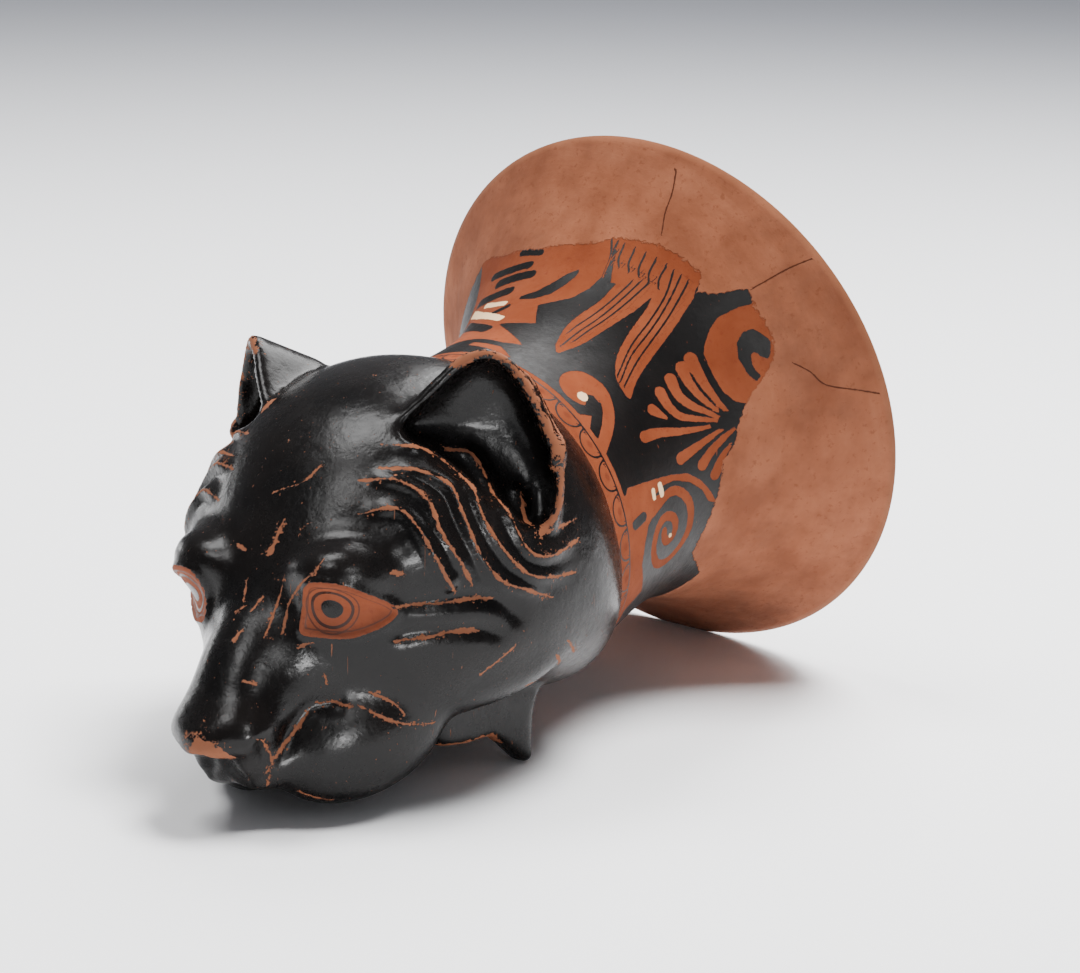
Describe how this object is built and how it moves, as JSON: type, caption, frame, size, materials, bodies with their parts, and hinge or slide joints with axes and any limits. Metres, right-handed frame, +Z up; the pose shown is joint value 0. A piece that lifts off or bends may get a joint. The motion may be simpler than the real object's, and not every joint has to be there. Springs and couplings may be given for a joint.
{
  "type": "rhyton",
  "caption": "Clay drinking vessel with a short painted bowl, a wide flared rim and an end moulded as a big cat's head, lying on its side.",
  "frame": {"origin": "on the ground, below the middle of the vessel's box as it lies", "axes": "+Z up; -Y towards the animal's nose and +Y towards the mouth of the bowl, along the length; +X to the animal's left"},
  "size_m": [0.12, 0.1692, 0.1164],
  "materials": {
    "glazed_clay": "black gloss with areas of bare orange clay"
  },
  "bodies": {
    "root": {"rhyton": "glazed_clay"}
  },
  "joints": []
}
